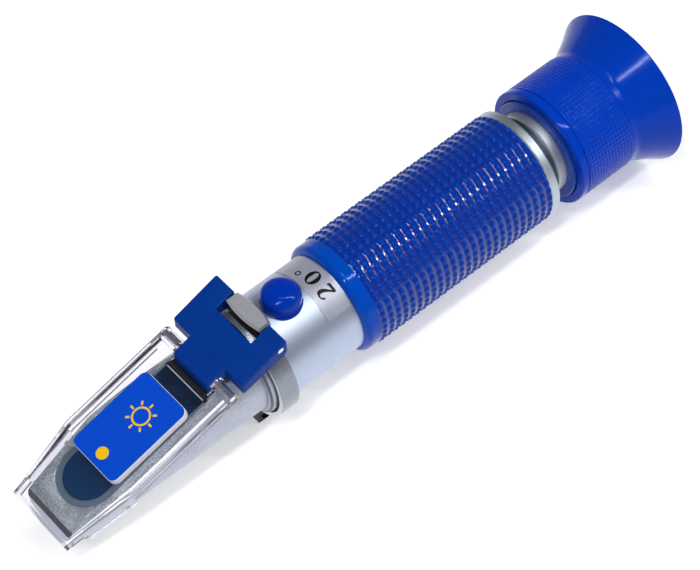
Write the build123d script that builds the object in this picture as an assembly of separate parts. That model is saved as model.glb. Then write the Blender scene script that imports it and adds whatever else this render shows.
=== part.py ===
from build123d import *
import math
import os

# Handheld sugar refractometer, in millimetres, +Z up.
# The optical axis is X: the prism end points to -X and the eyecup to +X.
# Positions along the axis are worked out from the front face of the grip's
# collar, and the finished pieces are then moved so that the origin is on the
# optical axis, at the middle of the instrument's length.

# Main tube and grip
tube_radius = 12.35
tube_wall = 1.35
bare_tube_length = 25.2
collar_length = 4.0
collar_wall = 1.65
collar_round = 1.6
grip_length = 52.0
grip_wall = 1.85
grip_end_round = 0.6
end_ring_length = 2.4
end_ring_wall = 1.85
label_gap_to_collar = 0.4
label_gap_to_cap = 0.9
label_half_angle = 47.0
label_thickness = 0.12

# Front casting that carries the prism
casting_length = 53.9
casting_step = 1.5
casting_draft = 0.4
casting_flange_length = 1.3
casting_spigot_length = 8.0
casting_bore_allowance = 0.15
flat_angle = 15.6
flat_to_flange = 1.1
tip_to_cover_side = 1.38
tip_side_angle = 7.8
tip_corner_radius = 0.8
tip_bevel = 0.95
platform_step = 0.72
platform_front_margin = 2.2
platform_height = 0.15
prism_length = 34.5
prism_draw_in = 0.35
prism_front_margin = 5.3
prism_bottom_height = -5.5
prism_proud = 0.05
seal_width = 1.65
seal_rear_width = 0.65
seal_depth = 1.8
seal_recess = 0.25

# Clamp band with its knuckle and lug
band_length = 4.8
band_wall = 1.05
liner_thickness = 0.65
liner_recess = 0.6
knuckle_half_width = 5.72
knuckle_above_tube = 4.85
knuckle_length = 3.1
knuckle_front_bulge = 0.7
knuckle_back_bulge = 0.95
knuckle_overhang = 0.2
knuckle_chamfer = 0.45
lug_half_width = 4.0
lug_slit = 1.2
clamp_screw_above_foot = 2.3
clamp_screw_radius = 1.0
clamp_head_radius = 1.6
clamp_head_length = 1.2
clamp_head_recess = 0.6
clamp_hex_across = 1.5

# Hinge block and its two pins
rear_pin_above_tube = 3.2
rear_pin_to_band_back = 2.1
rear_pin_to_block_end = 1.8
pin_radius = 0.8
pin_clearance = 0.05
block_side_margin = 0.31
block_length = 12.7
block_above_tube = 5.25
block_top_slope = 19.8
block_rear_thickness = 3.3
block_front_thickness = 2.9
block_corner_radius = 0.5
block_edge_round = 0.35
tongue_length = 5.1
tongue_end_thickness = 2.75
notch_side_clearance = 0.3
notch_depth = 5.2
block_arch_clearance = 0.4
pin_end_inset = 0.12

# Clear cover plate with its pad, measured along and square to the flat
cover_length = 47.5
cover_side_margin = 0.19
cover_draw_in = 2.75
cover_taper_length = 18.9
cover_wall = 0.85
cover_gap = 0.3
cover_floor = 1.05
cover_wall_height = 1.9
cover_skirt_depth = 0.9
cover_side_skirt_depth = 3.1
cover_side_skirt_length = 13.5
cover_lip_depth = 1.4
cover_front_block_length = 4.4
cover_notch_length = 0.9
cover_notch_depth = 0.8
cover_slot_clearance = 0.33
cover_slot_front_clearance = 0.45
front_pin_above_flat = 2.0
front_pin_to_tongue_end = 2.3
knuckle_barrel_radius = 1.6
pad_length = 22.3
pad_half_width = 7.4
pad_corner_radius = 1.8
pad_thickness = 2.05
pad_front_margin = 16.5
pad_label_thickness = 0.25
pad_label_inset = 0.12

# Objective, its carriage and the calibration screw under the dome cap
cap_to_tube_front = 12.6
cap_radius = 4.7
cap_height = 4.7
cap_wall = 1.45
cap_roof = 0.9
cap_brim = 0.2
cap_tube_clearance = 0.3
boss_height = 2.0
boss_plug_radius = 2.6
cap_fit_clearance = 0.05
frame_length = 9.0
carriage_length = 4.0
carriage_side_gap = 4.4
carriage_end_gap = 3.7
carriage_clearance = 0.05
carriage_travel = 0.375
carriage_stop_clearance = 0.3
objective_rim = 0.7
objective_seat = 0.7
objective_edge = 1.4
objective_crown = 0.8
calibration_shank_radius = 1.4
calibration_tip_radius = 0.9
calibration_tip_length = 1.3
calibration_neck_radius = 1.7
calibration_neck_length = 0.5
calibration_head_radius = 2.3
calibration_head_length = 0.9
calibration_slot = 0.6
strip_length = 11.0
strip_width = 5.0
strip_thickness = 0.7
strip_screw_radius = 0.9
strip_screw_head_radius = 1.5
strip_screw_head_length = 0.8

# Light baffle and scale glass
baffle_position = 16.0
baffle_length = 10.0
baffle_wall = 1.0
baffle_rim = 4.5
scale_position = 42.0
scale_cell_length = 5.0
scale_cell_wall = 1.6
scale_glass_thickness = 1.5
scale_land = 1.2
scale_ring_length = 1.6

# Eyepiece
neck_groove_length = 3.1
neck_below_bore = 0.4
neck_groove_depth = 0.4
neck_end_clearance = 0.5
neck_spigot_length = 8.0
neck_spigot_wall = 1.2
barrel_wall = 1.15
barrel_front_lip = 0.9
barrel_length = 17.5
barrel_fit_clearance = 0.05
flange_above_neck = 2.7
flange_thickness = 1.5
focus_travel = 1.5
focus_gap = 6.2
focus_ring_length = 16.5
focus_ring_wall = 4.65
focus_lip_length = 1.9
focus_lip_round = 0.45
focus_groove_depth = 0.3
focus_groove_width = 0.5
focus_mouth_wall = 1.95
focus_mouth_depth = 3.4
dust_ring_proud = 0.75
dust_ring_step = 0.3
dust_ring_step_length = 1.6
dust_ring_clearance = 0.1
thread_clearance = 0.05
flange_axial_clearance = 0.05
flange_side_clearance = 0.3
guide_pin_radius = 0.75
guide_pin_clearance = 0.05
guide_pin_to_neck_end = 5.5
guide_slot_depth = 0.8
field_lens_edge = 2.4
field_lens_crown = 1.1
eye_lens_edge = 2.6
eye_lens_crown = 1.3
spacer_length = 6.0
lens_land = 0.7
retaining_ring_length = 2.0
eyecup_length = 10.8
eyecup_neck_length = 1.4
eyecup_rim_radius = 20.0
eyecup_root_step = 0.15
eyecup_wall = 1.25
eyecup_floor = 1.5
eyecup_plug_length = 1.45
eyecup_hole_clearance = 0.35
rim_round = 0.3

# Radii, widths and heights that follow the tube
tube_bore_radius = tube_radius - tube_wall
collar_radius = tube_radius + collar_wall
grip_radius = tube_radius + grip_wall
end_ring_radius = tube_radius + end_ring_wall
casting_radius = tube_radius - casting_step
casting_tip_radius = casting_radius - casting_draft
band_inner_radius = tube_radius + liner_thickness
band_radius = band_inner_radius + band_wall
knuckle_top = tube_radius + knuckle_above_tube
rear_pin_height = tube_radius + rear_pin_above_tube
block_rear_height = tube_radius + block_above_tube
block_half_width = tube_radius - block_side_margin
tongue_half_width = knuckle_half_width + notch_side_clearance
cover_half_width = block_half_width - cover_side_margin
cover_front_half_width = cover_half_width - cover_draw_in
tip_half_width = cover_front_half_width - tip_to_cover_side
platform_half_width = tip_half_width - platform_step
prism_rear_half_width = platform_half_width - seal_rear_width
prism_front_radius = prism_rear_half_width - prism_draw_in
casting_bore_radius = prism_rear_half_width + casting_bore_allowance
carriage_half_width = tube_bore_radius - carriage_side_gap
carriage_half_height = tube_bore_radius - carriage_end_gap
objective_radius = carriage_half_width - objective_rim
light_hole_radius = objective_radius - objective_seat
baffle_hole_radius = tube_bore_radius - baffle_rim
scale_glass_radius = tube_bore_radius - scale_cell_wall
scale_view_radius = scale_glass_radius - scale_land
neck_radius = tube_bore_radius - neck_below_bore
neck_groove_radius = neck_radius - neck_groove_depth
barrel_radius = tube_bore_radius - neck_spigot_wall - barrel_fit_clearance
barrel_bore_radius = barrel_radius - barrel_wall
flange_radius = neck_radius + flange_above_neck
focus_ring_radius = neck_radius + focus_ring_wall
focus_mouth_radius = focus_ring_radius - focus_mouth_wall
eyecup_root_radius = focus_ring_radius - eyecup_root_step

# The instrument lies on the eyecup's rim and on the lug's foot, level with it
foot_height = -eyecup_rim_radius
clamp_screw_height = foot_height + clamp_screw_above_foot

# Stations along the optical axis, from the grip collar's front face
tube_front = -bare_tube_length
collar_back = collar_length
grip_back = collar_back + grip_length
tube_back = grip_back + end_ring_length
band_front = tube_front + 0.2
band_back = band_front + band_length
flange_front = tube_front - casting_flange_length
tip_x = tube_front - casting_length
rear_pin_x = band_back - rear_pin_to_band_back
block_rear_x = rear_pin_x + rear_pin_to_block_end
cap_x = tube_front + cap_to_tube_front
label_front = cap_x + cap_radius + label_gap_to_cap
label_back = -label_gap_to_collar
neck_start = tube_back + neck_groove_length
focus_front = tube_back + focus_gap
focus_back = focus_front + focus_ring_length
rim_x = focus_back + eyecup_length
barrel_flange_front = focus_back - eyecup_plug_length - flange_axial_clearance - flange_thickness
barrel_flange_back = barrel_flange_front + flange_thickness
barrel_back = barrel_flange_back + retaining_ring_length
barrel_front = barrel_back - barrel_length
neck_end = barrel_flange_front - focus_travel - neck_end_clearance
guide_pin_x = neck_end - guide_pin_to_neck_end

# The slanted flat crosses the optical axis here, and rises towards the eyecup
slope = math.radians(flat_angle)
flat_axis_x = (flange_front - flat_to_flange) - casting_radius / math.tan(slope)
flat_frame = Location((flat_axis_x, 0, 0), (0, -flat_angle, 0))


def flat_height(x):
    return (x - flat_axis_x) * math.tan(slope)


def along_flat(x, z):
    # Distance along the flat and height above it of a point of the X-Z plane
    dx = x - flat_axis_x
    s = dx * math.cos(slope) + z * math.sin(slope)
    h = z * math.cos(slope) - dx * math.sin(slope)
    return s, h


def from_flat(s, h):
    x = flat_axis_x + s * math.cos(slope) - h * math.sin(slope)
    z = s * math.sin(slope) + h * math.cos(slope)
    return x, z


# Places on the flat
tip_s = along_flat(tip_x + tip_bevel, flat_height(tip_x + tip_bevel))[0]
platform_front_s = tip_s + platform_front_margin
prism_front_s = tip_s + prism_front_margin
prism_arc_s = prism_front_s + prism_front_radius
prism_rear_s = prism_front_s + prism_length
prism_top = platform_height + prism_proud
floor_bottom = prism_top + cover_gap
floor_top = floor_bottom + cover_floor

# Hinge block, its tongue and the front pin
block_slope = math.tan(math.radians(block_top_slope))
block_front_x = block_rear_x - block_length
tongue_front_x = block_front_x - tongue_length


def block_top(x):
    return block_rear_height - (block_rear_x - x) * block_slope


front_pin_x = tongue_front_x + front_pin_to_tongue_end
front_pin_s, front_pin_guess = along_flat(
    front_pin_x, flat_height(front_pin_x) + front_pin_above_flat / math.cos(slope)
)
cover_front_s = front_pin_s - cover_length
cover_kink_s = cover_front_s + cover_taper_length
cover_tip_x = from_flat(cover_front_s, floor_top)[0]
mid_length_x = (cover_tip_x + rim_x) / 2


def rod_x(x0, x1, radius):
    return Pos((x0 + x1) / 2, 0, 0) * Rot(0, 90, 0) * Cylinder(radius, x1 - x0)


def ring_x(x0, x1, outer, inner):
    return rod_x(x0, x1, outer) - rod_x(x0, x1, inner)


def rod_y(x, z, y0, y1, radius):
    return Pos(x, (y0 + y1) / 2, z) * Rot(90, 0, 0) * Cylinder(radius, y1 - y0)


def rod_z(x, y, z0, z1, radius):
    return Pos(x, y, (z0 + z1) / 2) * Cylinder(radius, z1 - z0)


def block(x0, x1, y0, y1, z0, z1):
    centre = Pos((x0 + x1) / 2, (y0 + y1) / 2, (z0 + z1) / 2)
    return centre * Box(x1 - x0, y1 - y0, z1 - z0)


def side_slab(points, half_width):
    # A closed outline of (x, z) points, as thick as twice half_width along Y
    face = make_face(Polyline(*[(x, 0, z) for x, z in points], close=True))
    return extrude(face, half_width, both=True)


def plan_slab(points, z0, z1, corners=0.0, picked=()):
    # A closed outline of (x, y) points between two heights, corners rounded
    face = make_face(Polyline(*[(x, y, z0) for x, y in points], close=True))
    if corners > 0:
        rounded = [v for v in face.vertices() if any(
            math.hypot(v.X - x, v.Y - y) < 1e-6 for x, y in picked)]
        face = fillet(rounded, corners)
    return extrude(face, z1 - z0, dir=(0, 0, 1))


def turned(edges):
    # A closed outline of edges in the X-Z plane, turned about the axis
    return revolve(make_face(edges), Axis.X, 360)


def turned_points(points):
    return turned(Polyline(*[(x, 0, r) for x, r in points], close=True))


def wedge_outline(rear_s, rear_half, arc_s, radius, z0, z1):
    # D-ended outline in the flat's own frame: straight sides, round front
    sides = Polyline(
        (arc_s, radius, z0), (rear_s, rear_half, z0), (rear_s, -rear_half, z0), (arc_s, -radius, z0))
    nose = ThreePointArc((arc_s, -radius, z0), (arc_s - radius, 0, z0), (arc_s, radius, z0))
    return extrude(make_face(sides + nose), z1 - z0, dir=(0, 0, 1))


# Tube, grip and label


def main_tube():
    tube = ring_x(tube_front, tube_back, tube_radius, tube_bore_radius)
    return tube - rod_z(cap_x, 0, 0, tube_radius * 2, boss_plug_radius)


def grip_collar():
    r = collar_round
    outline = Polyline(
        (r, 0, collar_radius), (collar_length, 0, collar_radius),
        (collar_length, 0, tube_radius), (0, 0, tube_radius), (0, 0, collar_radius - r),
    )
    edge = ThreePointArc(
        (0, 0, collar_radius - r),
        (r * (1 - math.sqrt(0.5)), 0, collar_radius - r * (1 - math.sqrt(0.5))),
        (r, 0, collar_radius),
    )
    return turned(outline + edge)


def grip_sleeve():
    e = grip_end_round
    return turned_points([
        (collar_back, tube_radius), (collar_back, grip_radius - e), (collar_back + e, grip_radius),
        (grip_back - e, grip_radius), (grip_back, grip_radius - e), (grip_back, tube_radius),
    ])


def end_ring():
    ring = ring_x(grip_back, tube_back, end_ring_radius, tube_radius)
    outer = ring.edges().filter_by(GeomType.CIRCLE).sort_by(lambda e: -e.radius)[0:2]
    return chamfer(outer, 0.3)


def tube_label():
    sheet = ring_x(label_front, label_back, tube_radius + label_thickness, tube_radius)
    reach = tube_radius * 2
    edge_y = reach * math.sin(math.radians(label_half_angle))
    edge_z = reach * math.cos(math.radians(label_half_angle))
    corners = [(label_front, 0, 0), (label_front, edge_y, edge_z), (label_front, -edge_y, edge_z)]
    fan = make_face(Polyline(*corners, close=True))
    return sheet & extrude(fan, label_back - label_front, dir=(1, 0, 0))


# Front casting, prism and seal


def prism_solid():
    blank = flat_frame * wedge_outline(
        prism_rear_s, prism_rear_half_width, prism_arc_s, prism_front_radius,
        -3 * casting_radius, prism_top,
    )
    reach = prism_length * 3
    return blank & block(tip_x, tip_x + reach, -reach, reach, prism_bottom_height, reach)


def seal_room():
    return flat_frame * wedge_outline(
        prism_rear_s + seal_rear_width, prism_rear_half_width + seal_rear_width,
        prism_arc_s, prism_front_radius + seal_width, -seal_depth, casting_radius,
    )


def prism_seal():
    above = flat_frame * Pos(0, 0, casting_radius - seal_recess) * Box(
        8 * casting_radius, 4 * casting_radius, 2 * casting_radius)
    return seal_room() - above - prism_solid()


def casting_plan():
    # Plan of the casting: full width behind, sides drawn in towards the tip
    drawn = math.tan(math.radians(tip_side_angle))
    taper_end_x = tip_x + (casting_radius + 1 - tip_half_width) / drawn
    wide = casting_radius + 1
    points = [
        (tip_x, -tip_half_width), (taper_end_x, -wide), (tube_front, -wide),
        (tube_front, wide), (taper_end_x, wide), (tip_x, tip_half_width),
    ]
    reach = 2 * casting_radius
    return plan_slab(points, -reach, reach, tip_corner_radius, [points[0], points[-1]])


def prism_casting():
    length = tube_front - tip_x
    cone = Cone(casting_tip_radius, casting_radius, length)
    shank = Pos((tip_x + tube_front) / 2, 0, 0) * Rot(0, 90, 0) * cone
    shank = shank & casting_plan()
    above = flat_frame * Pos(0, 0, casting_radius * 2) * Box(
        10 * casting_radius, 4 * casting_radius, 4 * casting_radius)
    shank -= above
    low = flat_height(tip_x) - tip_bevel
    high = flat_height(tip_x + tip_bevel)
    shank -= side_slab([
        (tip_x, low), (tip_x + tip_bevel, high), (tip_x + tip_bevel, casting_radius),
        (tip_x - tip_bevel, casting_radius), (tip_x - tip_bevel, low),
    ], casting_radius * 2)
    middle_s = (platform_front_s + prism_rear_s) / 2
    platform = flat_frame * Pos(middle_s, 0, platform_height - 0.5) * Box(
        prism_rear_s + seal_rear_width * 2 - platform_front_s, 2 * platform_half_width, 1.0)
    shank += platform
    shank = shank - seal_room() - prism_solid()
    r = casting_flange_length * 0.8
    step = tube_radius - casting_radius
    outline = Polyline(
        (flange_front + r, 0, tube_radius), (tube_front, 0, tube_radius),
        (tube_front, 0, casting_bore_radius),
        (flange_front, 0, casting_bore_radius), (flange_front, 0, tube_radius - step * 0.8),
    )
    edge = Spline(
        (flange_front, 0, tube_radius - step * 0.8),
        (flange_front + r * 0.3, 0, tube_radius - step * 0.22),
        (flange_front + r, 0, tube_radius), tangents=[(0, 0, 1), (1, 0, 0)],
    )
    casting = shank + turned(outline + edge)
    spigot_back = tube_front + casting_spigot_length
    casting += rod_x(tube_front, spigot_back, tube_bore_radius)
    bore_front = from_flat(prism_rear_s - 1.0, -1.0)[0]
    casting -= rod_x(bore_front, spigot_back, casting_bore_radius) - prism_solid()
    return casting


# Clamp band, liner, screw and rear pin


def knuckle():
    w = knuckle_half_width
    back = band_back + knuckle_overhang
    front = back - knuckle_length
    z0 = band_inner_radius * 0.88
    sides = Line((front, w, z0), (back, w, z0)) + Line((back, -w, z0), (front, -w, z0))
    bow_front = ThreePointArc((front, -w, z0), (front - knuckle_front_bulge, 0, z0), (front, w, z0))
    bow_back = ThreePointArc((back, w, z0), (back + knuckle_back_bulge, 0, z0), (back, -w, z0))
    body = extrude(make_face(sides + bow_front + bow_back), knuckle_top - z0, dir=(0, 0, 1))
    rims = body.faces().sort_by(Axis.Z)[-1].edges()
    return chamfer(rims, knuckle_chamfer)


def clamp_band():
    band = rod_x(band_front, band_back, band_radius)
    lug = block(band_front, band_back, -lug_half_width, lug_half_width, foot_height, -band_inner_radius * 0.9)
    lug = chamfer(lug.faces().sort_by(Axis.Z)[0].edges().filter_by(Axis.X), 0.4)
    band = band + lug + knuckle()
    band -= rod_x(band_front - band_length, band_back + band_length, band_inner_radius)
    slit = lug_slit / 2
    band -= block(band_front - 1, band_back + 1, -slit, slit, foot_height - 1, -band_inner_radius * 0.8)
    x = (band_front + band_back) / 2
    ear = lug_half_width
    band -= rod_y(x, clamp_screw_height, -ear, ear - 0.8, clamp_screw_radius)
    seat = ear - clamp_head_recess - clamp_head_length
    band -= rod_y(x, clamp_screw_height, -ear - 1, -seat, clamp_head_radius + 0.05)
    band -= rod_y(rear_pin_x, rear_pin_height, -block_half_width, block_half_width, pin_radius)
    return band


def band_liner():
    return ring_x(band_front + liner_recess, band_back - liner_recess, band_inner_radius, tube_radius)


def clamp_screw():
    x = (band_front + band_back) / 2
    ear = lug_half_width
    head_front = -(ear - clamp_head_recess)
    head_back = head_front + clamp_head_length
    screw = rod_y(x, clamp_screw_height, head_front, head_back, clamp_head_radius)
    screw += rod_y(x, clamp_screw_height, head_back, ear - 0.9, clamp_screw_radius)
    socket = Pos(x, head_front, clamp_screw_height) * Rot(90, 0, 0) * extrude(
        RegularPolygon(clamp_hex_across / 2, 6), clamp_head_length * 0.6, both=True)
    return screw - socket


def hinge_pin():
    reach = block_half_width - pin_end_inset
    return rod_y(rear_pin_x, rear_pin_height, -reach, reach, pin_radius)


# Hinge block and front pin


def block_side_outline():
    rear_low = block_top(block_rear_x) - block_rear_thickness
    front_low = block_top(block_front_x) - block_front_thickness
    tongue_low = block_top(tongue_front_x) - tongue_end_thickness
    return [
        (block_rear_x, block_top(block_rear_x)), (block_rear_x, rear_low),
        (block_rear_x - 1.1, rear_low - 1.0), (block_rear_x - notch_depth, rear_low - 2.0),
        (block_front_x, front_low), (tongue_front_x, tongue_low),
        (tongue_front_x, block_top(tongue_front_x)),
    ]


def hinge_block():
    w, t = block_half_width, tongue_half_width
    n = knuckle_half_width + notch_side_clearance
    notch_x = block_rear_x - notch_depth
    points = [
        (block_rear_x, w), (block_rear_x, n), (notch_x, n), (notch_x, -n), (block_rear_x, -n),
        (block_rear_x, -w), (block_front_x, -w), (block_front_x, -t), (tongue_front_x, -t),
        (tongue_front_x, t), (block_front_x, t), (block_front_x, w),
    ]
    outer = [points[0], points[5], points[6], points[8], points[9], points[11]]
    plan = plan_slab(points, 0, 2 * knuckle_top, block_corner_radius, outer)
    body = plan & side_slab(block_side_outline(), 2 * w)
    top = body.faces().filter_by(lambda f: f.normal_at().Z > 0.9).sort_by(SortBy.AREA)[-1]
    body = fillet(top.edges(), block_edge_round)
    arch = rod_x(notch_x - block_length, block_rear_x + 1, tube_radius + block_arch_clearance)
    body -= arch & block(flange_front - 0.6, block_rear_x + 1, -w, w, 0, 2 * w)
    body -= rod_x(band_front - block_arch_clearance, block_rear_x + 1, band_radius + block_arch_clearance)
    body -= rod_y(rear_pin_x, rear_pin_height, -w - 1, w + 1, pin_radius + pin_clearance)
    pin_x, pin_z = from_flat(front_pin_s, front_pin_above_flat)
    return body - rod_y(pin_x, pin_z, -w, w, pin_radius)


def cover_pin():
    reach = cover_half_width - pin_end_inset
    pin_x, pin_z = from_flat(front_pin_s, front_pin_above_flat)
    return rod_y(pin_x, pin_z, -reach, reach, pin_radius)


# Clear cover plate with its pad and label


def cover_plan(inset, front_s, z0, z1):
    # Plan of the cover in the flat's frame, drawn in by inset on its sides
    drawn = (cover_half_width - cover_front_half_width) / cover_taper_length
    front_half = cover_front_half_width - inset + drawn * (front_s - cover_front_s)
    half = cover_half_width - inset
    return plan_slab([
        (front_s, -front_half), (cover_kink_s, -half), (front_pin_s, -half),
        (front_pin_s, half), (cover_kink_s, half), (front_s, front_half),
    ], z0, z1)


def cover_plate():
    deep = floor_bottom - cover_side_skirt_depth
    wall_top = floor_top + cover_wall_height
    wide = 2 * cover_half_width
    plate = cover_plan(0, cover_front_s, deep, wall_top)
    plate -= side_slab([
        (cover_front_s - 1, floor_top), (cover_front_s, floor_top), (cover_kink_s, wall_top),
        (cover_kink_s, wall_top + 1), (cover_front_s - 1, wall_top + 1),
    ], wide)
    tray = cover_plan(cover_wall, cover_front_s - 1, floor_top, wall_top + 1)
    plate -= tray & block(cover_front_s - 2, front_pin_s - knuckle_barrel_radius, -wide, wide, 0, wide)
    lip_back = cover_front_s + cover_wall
    plate -= cover_plan(cover_wall, lip_back, deep - 1, floor_bottom)
    block_back = cover_front_s + cover_front_block_length
    skirt_back = block_back + cover_side_skirt_length
    shallow = floor_bottom - cover_skirt_depth
    lip_low = floor_bottom - cover_lip_depth
    plate -= block(cover_front_s - 1, block_back, -wide, wide, deep - 1, lip_low)
    plate -= block(skirt_back, front_pin_s + 1, -wide, wide, deep - 1, shallow)
    for notch_s in (block_back, skirt_back - cover_notch_length * 3):
        plate -= block(notch_s, notch_s + cover_notch_length, -wide, wide, deep - 1, deep + cover_notch_depth)
    n = tongue_half_width + cover_slot_clearance
    barrel_room = block(front_pin_s - knuckle_barrel_radius - 2, front_pin_s + 3, -wide, wide, -wide, wide)
    for side in (-1, 1):
        a, b = sorted((side * n, side * cover_half_width))
        plate += rod_y(front_pin_s, front_pin_above_flat, a, b, knuckle_barrel_radius)
    slot_front = tongue_back_clear()
    plate -= block(slot_front, front_pin_s + 3, -n, n, -wide, wide)
    eye_bottom = front_pin_above_flat - knuckle_barrel_radius
    under = block(slot_front - 3, front_pin_s + 3, -wide, wide, -wide, eye_bottom)
    plate -= under & barrel_room
    plate -= rod_y(front_pin_s, front_pin_above_flat, -wide, wide, pin_radius + pin_clearance)
    return flat_frame * plate


def tongue_back_clear():
    # Where the cover's slot starts, clear of the tongue's front face
    low = block_top(tongue_front_x) - tongue_end_thickness
    return along_flat(tongue_front_x, low)[0] - cover_slot_front_clearance


def pad_plan(inset, z0, z1):
    s0 = cover_front_s + pad_front_margin + inset
    s1 = s0 + pad_length - 2 * inset
    w = pad_half_width - inset
    corners = [(s0, -w), (s1, -w), (s1, w), (s0, w)]
    return flat_frame * plan_slab(corners, z0, z1, pad_corner_radius - inset, corners)


def cover_pad():
    return pad_plan(0, floor_top, floor_top + pad_thickness)


def pad_label():
    top = floor_top + pad_thickness
    return pad_plan(pad_label_inset, top, top + pad_label_thickness)


# Dome cap, calibration screw and the objective's carriage

boss_top = tube_radius + boss_height
boss_radius = cap_radius - cap_wall
cap_top = tube_radius + cap_height
carriage_top = carriage_half_height
head_low = boss_top + carriage_travel + 0.1
head_high = head_low + calibration_head_length


def calibration_cap():
    r = cap_radius
    shoulder = cap_top - r * 0.62
    outline = Polyline((0, 0, 0), (r, 0, 0), (r, 0, shoulder))
    dome = Spline((r, 0, shoulder), (r * 0.74, 0, cap_top - r * 0.16), (0, 0, cap_top),
                  tangents=[(0, 0, 1), (-1, 0, 0)])
    solid = revolve(make_face(outline + dome + Line((0, 0, cap_top), (0, 0, 0))), Axis.Z, 360)
    solid = Pos(cap_x, 0, 0) * solid + rod_z(cap_x, 0, 0, tube_radius, r + cap_brim)
    hollow = rod_z(cap_x, 0, 0, cap_top - cap_roof, boss_radius + cap_fit_clearance)
    top_ring = hollow.faces().sort_by(Axis.Z)[-1].edges()
    solid -= fillet(top_ring, cap_wall * 0.7)
    return solid - rod_x(cap_x - 2 * r, cap_x + 2 * r, tube_radius + cap_tube_clearance)


def screw_boss():
    boss = rod_z(cap_x, 0, 0, boss_top, boss_radius)
    boss -= rod_x(cap_x - 2 * cap_radius, cap_x + 2 * cap_radius, tube_radius)
    boss += rod_z(cap_x, 0, 0, boss_top, boss_plug_radius) - rod_x(
        cap_x - 2 * cap_radius, cap_x + 2 * cap_radius, tube_bore_radius)
    boss = boss - rod_z(cap_x, 0, 0, boss_top, calibration_shank_radius + pin_clearance)
    rims = boss.faces().sort_by(Axis.Z)[-1].outer_wire().edges()
    return chamfer(rims, 0.25)


def calibration_screw():
    tip_low = carriage_top - calibration_tip_length + pin_clearance
    neck_high = carriage_top + calibration_neck_length
    screw = rod_z(cap_x, 0, tip_low, carriage_top + pin_clearance, calibration_tip_radius)
    screw += rod_z(cap_x, 0, carriage_top + pin_clearance, neck_high, calibration_neck_radius)
    screw += rod_z(cap_x, 0, neck_high, head_low, calibration_shank_radius)
    screw += rod_z(cap_x, 0, head_low, head_high, calibration_head_radius)
    slot = calibration_slot / 2
    return screw - block(
        cap_x - 2 * calibration_head_radius, cap_x + 2 * calibration_head_radius, -slot, slot,
        head_high - calibration_head_length * 0.55, head_high + 1)


def carriage_frame():
    # Fixed frame inside the tube with a slot in which the lens carriage rises
    half = frame_length / 2
    frame = rod_x(cap_x - half, cap_x + half, tube_bore_radius)
    frame -= rod_x(cap_x - half - 1, cap_x + half + 1, light_hole_radius + carriage_travel)
    dx = carriage_length / 2 + carriage_clearance
    dy = carriage_half_width + carriage_clearance
    dz = carriage_half_height + carriage_travel + carriage_stop_clearance
    frame -= block(cap_x - dx, cap_x + dx, -dy, dy, -dz, dz)
    frame -= rod_z(cap_x, 0, 0, tube_bore_radius + 1, calibration_neck_radius + 0.3)
    strip = strip_width / 2 + 0.3
    low = strip_height() - strip_thickness / 2 - 0.35
    frame -= block(cap_x - dx - 0.1, cap_x + half + 1, -strip, strip, low, low + 1.35)
    return frame


def strip_height():
    return -(carriage_half_height + carriage_travel + carriage_stop_clearance) - 0.9


def lens_carriage():
    w, h, t = carriage_half_width, carriage_half_height, carriage_length / 2
    plate = block(cap_x - t, cap_x + t, -w, w, -h, h)
    plate -= rod_x(cap_x - t, cap_x + t, light_hole_radius)
    seat = carriage_length / 2 - objective_edge / 2
    plate -= rod_x(cap_x - t + seat, cap_x + t, objective_radius)
    depth = calibration_tip_length + pin_clearance
    return plate - rod_z(cap_x, 0, h - depth, h + 1, calibration_tip_radius + pin_clearance)


def lens_solid(x0, edge, radius, front_crown, back_crown, land):
    # A round lens with a cylindrical edge, a flat land and bulging faces
    inner = radius - land
    x1 = x0 + edge
    left = Polyline((x0, 0, inner), (x0, 0, radius), (x1, 0, radius), (x1, 0, inner))

    def bulge(x, crown, sign):
        sphere = (inner**2 + crown**2) / (2 * crown)
        centre = x - sign * (sphere - crown)
        half = math.asin(inner / sphere) / 2
        return ThreePointArc(
            (x, 0, inner), (centre + sign * sphere * math.cos(half), 0, sphere * math.sin(half)),
            (x + sign * crown, 0, 0))

    front = bulge(x0, front_crown, -1)
    back = bulge(x1, back_crown, 1)
    axis_line = Line((x0 - front_crown, 0, 0), (x1 + back_crown, 0, 0))
    return turned(left + front + back + axis_line)


def objective_lens():
    t = carriage_length / 2
    x0 = cap_x - t + (carriage_length / 2 - objective_edge / 2)
    return lens_solid(x0, objective_edge, objective_radius, objective_crown, objective_crown * 0.5, 0.7)


def strip_screw_x():
    return cap_x + frame_length / 2 + strip_length - strip_width / 2


def bimetal_strip():
    # Temperature strip: one end under the carriage, the other on a tube stud
    x0 = cap_x
    x1 = cap_x + frame_length / 2 + strip_length
    z = strip_height()
    strip = block(x0, x1, -strip_width / 2, strip_width / 2, z - strip_thickness / 2, z + strip_thickness / 2)
    screw_x = strip_screw_x()
    post = rod_z(screw_x, 0, -tube_bore_radius - 1, z - strip_thickness / 2, strip_width / 2)
    post = post & rod_x(x0, x1 + strip_width, tube_bore_radius)
    return strip + post - rod_z(screw_x, 0, -tube_bore_radius - 1, z + 1, strip_screw_radius)


def strip_screw():
    x = strip_screw_x()
    z = strip_height() + strip_thickness / 2
    screw = rod_z(x, 0, z - 2.4, z, strip_screw_radius)
    screw += rod_z(x, 0, z, z + strip_screw_head_length, strip_screw_head_radius)
    half = 0.2
    return screw - block(x - 3, x + 3, -half, half, z + strip_screw_head_length * 0.5, z + 2)


# Baffle and scale glass


def light_baffle():
    x0, x1 = baffle_position, baffle_position + baffle_length
    sleeve = ring_x(x0, x1, tube_bore_radius, tube_bore_radius - baffle_wall)
    return sleeve + ring_x(x0, x0 + baffle_wall, tube_bore_radius, baffle_hole_radius)


def scale_cell():
    x0, x1 = scale_position, scale_position + scale_cell_length
    cell = ring_x(x0, x1, tube_bore_radius, scale_view_radius)
    seat = x1 - scale_ring_length - scale_glass_thickness
    return cell - rod_x(seat, x1, scale_glass_radius)


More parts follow.
